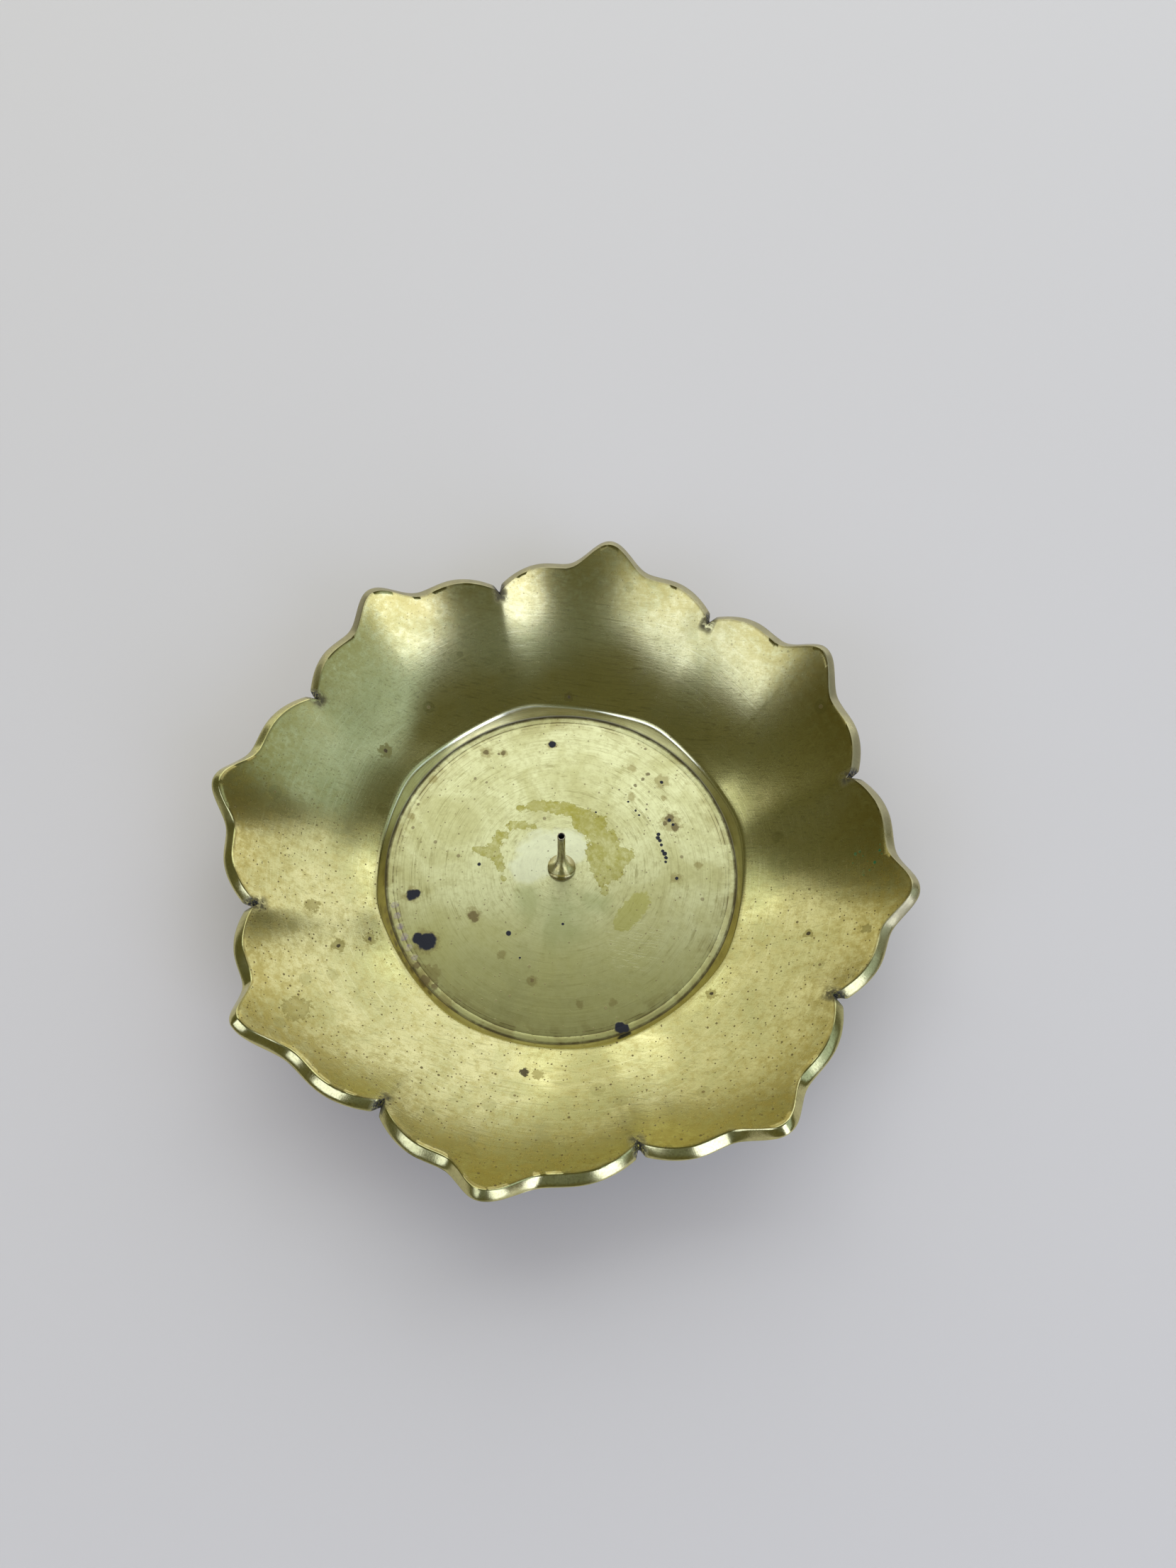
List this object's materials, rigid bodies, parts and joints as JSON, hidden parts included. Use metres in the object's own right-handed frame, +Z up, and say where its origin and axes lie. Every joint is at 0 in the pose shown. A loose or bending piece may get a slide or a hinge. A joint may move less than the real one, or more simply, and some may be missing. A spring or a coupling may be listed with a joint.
{
  "type": "diya oil lamp",
  "caption": "Cast brass dish shaped as an open lotus flower, with a sunk round well and a slim hollow flared nozzle standing in its middle to hold a wick or stick upright",
  "frame": {"origin": "middle of the foot ring, on the surface it stands on", "axes": "+Z up through the nozzle, +X and +Y each towards a petal tip"},
  "size_m": [0.15, 0.1504, 0.0313],
  "materials": {
    "petal_brass": "cast brass, satin from fine hand scratches, aged olive with dark freckles",
    "turned_brass": "turned brass, satin with circular scratches, spotted and stained",
    "foot_brass": "turned brass, dull and worn on the face it stands on",
    "nozzle_brass": "turned brass, brighter polish, dark in the bore",
    "hardware_brass": "plain machined brass, dull"
  },
  "bodies": {
    "root": {"petal_dish": "petal_brass", "floor_plate": "turned_brass", "foot_ring": "foot_brass", "nozzle": "nozzle_brass", "nozzle_washer": "hardware_brass", "nozzle_nut": "hardware_brass"}
  },
  "joints": []
}
